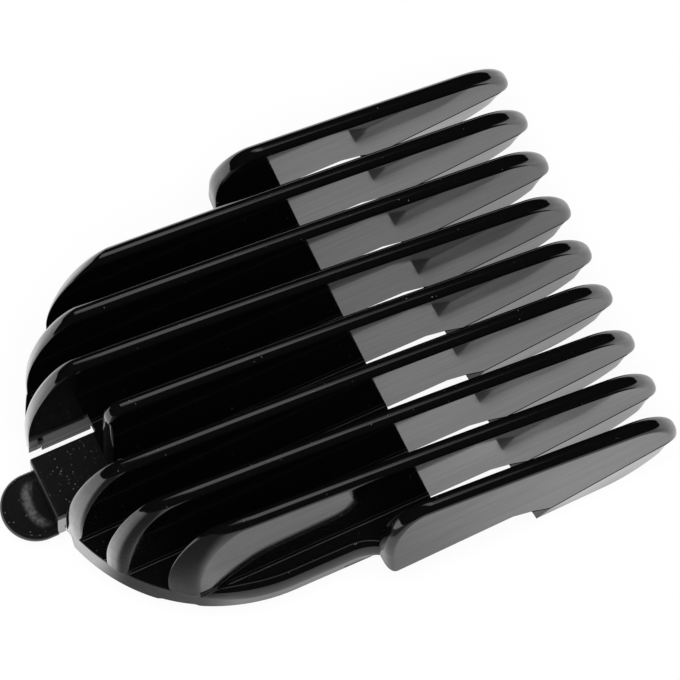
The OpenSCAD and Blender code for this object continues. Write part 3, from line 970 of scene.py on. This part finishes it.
def table_glow(tree):
    """Brightness of the table in the comb's mirror, from the place on the table."""

    def times(a, b):
        return maths(tree, "MULTIPLY", a, b)

    def past(value, limit):
        return maths(tree, "MAXIMUM", maths(tree, "SUBTRACT", value, limit), 0.0)

    def between(value, limits, low=0.0, high=1.0):
        return soft_step(tree, value, limits[0] * MM, limits[1] * MM, low, high)

    spot = tree.nodes.new("ShaderNodeNewGeometry")
    parts = add(tree, "ShaderNodeSeparateXYZ", Vector=spot.outputs["Position"])
    x, y = parts.outputs["X"], parts.outputs["Y"]
    off_x = past(maths(tree, "ABSOLUTE", x), HOOD_RADIUS * MM)
    off_y = maths(tree, "ADD", past(y, OPEN_FRONT * MM), past(OPEN_BACK * MM, y))
    away = length(tree, off_x, off_y)
    far = between(away, (0.0, OPEN_RAMP))
    near_side = past(x, HOOD_RADIUS * MM)
    side_share = maths(tree, "DIVIDE", near_side, maths(tree, "ADD", away, 1e-5))
    side = soft_step(tree, side_share, *CAMERA_SIDE_SPREAD)

    # the shadow runs out from the middle of the round back
    from_back = maths(tree, "ADD", y, (HOOD_LENGTH - SHIFT) * MM)
    across, behind = times(x, sin(SHADOW_TOWARDS)), times(from_back, cos(SHADOW_TOWARDS))
    reach = length(tree, x, from_back)
    along = maths(tree, "DIVIDE", maths(tree, "SUBTRACT", across, behind), reach)
    shadow = soft_step(tree, along, *SHADOW_SPREAD)

    # under and beside the comb
    outwards = maths(tree, "POWER", maths(tree, "DIVIDE", x, GLOW_SIDES_AT * MM), 2.0)
    beside = maths(tree, "MULTIPLY_ADD", outwards, GLOW_SIDES, GLOW_BESIDE)
    beside = times(beside, between(y, HOOD_DIM_ALONG, HOOD_DIM))
    lighter = times(between(x, NEAR_FINS_ACROSS), between(y, NEAR_FINS_ALONG, *NEAR_FINS_GAIN))
    beside = times(beside, maths(tree, "ADD", lighter, 1.0))
    beside = mix(tree, "VALUE", shadow, beside, GLOW_SHADOW_BESIDE)

    # farther off, where the camera's side grows dark again
    open_table = mix(tree, "VALUE", side, GLOW_OPEN, GLOW_CAMERA_SIDE)
    side_end = times(side, between(x, CAMERA_SIDE_ENDS))
    open_table = times(open_table, maths(tree, "SUBTRACT", 1.0, side_end))
    open_table = mix(tree, "VALUE", shadow, open_table, GLOW_SHADOW)

    # painted shade where the toes touch the table, and under the hood
    touch = add(tree, "ShaderNodeAmbientOcclusion", Distance=TOUCH_REACH * MM)
    touch.samples = 16
    clear = soft_step(tree, touch.outputs["AO"], *TOUCH_SPREAD)
    shade = mix(tree, "VALUE", clear, between(y, STOP_SHADE_ALONG, *STOP_SHADE), 1.0)
    in_back = between(reach, UNDER_HOOD_RADII, 1.0, 0.0)
    inside = times(in_back, between(y, UNDER_HOOD_ALONG, 1.0, 0.0))
    shade = times(shade, maths(tree, "MULTIPLY_ADD", inside, -UNDER_HOOD_LOSS, 1.0))
    return times(mix(tree, "VALUE", far, beside, open_table), shade)


def white_table():
    """White to the eye, and dimmer or brighter in the comb's mirror, as the light falls there."""
    material = new_material("white_table")
    tree = material.node_tree
    path = tree.nodes.new("ShaderNodeLightPath").outputs
    mirrored = maths(tree, "ADD", path["Is Glossy Ray"], path["Is Transmission Ray"], clamp=True)
    glow = add(tree, "ShaderNodeEmission", Strength=table_glow(tree))
    white = add(tree, "ShaderNodeEmission", Strength=TABLE_WHITE)
    faint = add(tree, "ShaderNodeBsdfDiffuse", Color=(TABLE_SHADE, TABLE_SHADE, TABLE_SHADE, 1))
    plain = add(tree, "ShaderNodeBsdfDiffuse", Color=(TABLE_PLAIN, TABLE_PLAIN, TABLE_PLAIN, 1))
    shadowed = tree.nodes.new("ShaderNodeAddShader")
    tree.links.new(faint.outputs[0], shadowed.inputs[0])
    tree.links.new(white.outputs[0], shadowed.inputs[1])
    to_eye = mix_shaders(tree, path["Is Camera Ray"], plain, shadowed)
    both = mix_shaders(tree, mirrored, to_eye, glow)
    # clear from below, so that the underside can be looked at
    face_side = tree.nodes.new("ShaderNodeNewGeometry")
    clear = tree.nodes.new("ShaderNodeBsdfTransparent")
    shown = mix_shaders(tree, face_side.outputs["Backfacing"], both, clear)
    add(tree, "ShaderNodeOutputMaterial", Surface=shown.outputs[0])
    return material


def make_table():
    mesh = bpy.data.meshes.new("table")
    r = TABLE_REACH
    mesh.from_pydata([(-r, -r, 0), (r, -r, 0), (r, r, 0), (-r, r, 0)], [], [(0, 1, 2, 3)])
    table = bpy.data.objects.new("table", mesh)
    table.data.materials.append(white_table())
    bpy.context.scene.collection.objects.link(table)


def make_world():
    """A dark room over the table with a faint lighter band at the horizon, and white to the eye."""
    world = bpy.data.worlds.new("studio")
    world.use_nodes = True
    tree = world.node_tree
    tree.nodes.clear()
    place = tree.nodes.new("ShaderNodeTexCoord")
    parts = add(tree, "ShaderNodeSeparateXYZ", Vector=place.outputs["Generated"])
    ramp = add(tree, "ShaderNodeValToRGB", Fac=parts.outputs["Z"])
    stops = ((0.0, HORIZON), (HORIZON_BAND, CEILING))
    for element, (height, grey) in zip(ramp.color_ramp.elements, stops):
        element.position = height
        element.color = (grey, grey, grey, 1)
    sky = add(tree, "ShaderNodeBackground", Color=ramp.outputs["Color"], Strength=1.0)
    white = add(tree, "ShaderNodeBackground", Color=(1, 1, 1, 1), Strength=1.0)
    path = tree.nodes.new("ShaderNodeLightPath")
    seen = mix_shaders(tree, path.outputs["Is Camera Ray"], sky, white)
    add(tree, "ShaderNodeOutputWorld", Surface=seen.outputs[0])
    bpy.context.scene.world = world


make_camera()
make_table()
make_world()
for lamp in LAMPS:
    add_lamp(*lamp)
bpy.context.scene.view_settings.view_transform = "Standard"

dust, flow = dust_group(), flow_group()
gloss = black_plastic(
    "gloss_black",
    dust,
    flow,
    base=(0.004, 0.004, 0.0042, 1),
    roughness=0.08,
    ripple=0.012,
    specks=0.02,
    lacquer=1.0,
)
dull = black_plastic(
    "dull_black",
    dust,
    flow,
    base=(0.01, 0.01, 0.0102, 1),
    roughness=0.5,
    ripple=0.02,
    specks=0.2,
)
# painted highlight line along the fin roots: a lighter, duller black
root = black_plastic(
    "root_painted_highlight",
    dust,
    flow,
    base=(0.03, 0.03, 0.03, 1),
    roughness=0.4,
    ripple=0.004,
    specks=0.06,
)
# the tab's black, with a painted highlight crescent on it
tab_black = black_plastic(
    "tab_black_painted_highlight",
    dust,
    flow,
    base=(0.01, 0.01, 0.0102, 1),
    roughness=0.2,
    ripple=0.004,
    specks=0.12,
    tab_highlight=tab_highlight_group(),
)

for k in range(1, 10):
    make_fin(k, gloss, root)
    make_toe(k, gloss, dull)
for side in (-1, 1):
    make_wall(side, gloss)
make_deck(gloss)
make_tongue(dull)
make_tab(tab_black)
catch = nodes["latch_catch"]
catch.data.materials.clear()
finish_edges(catch, gloss, width=CATCH_BREAK)
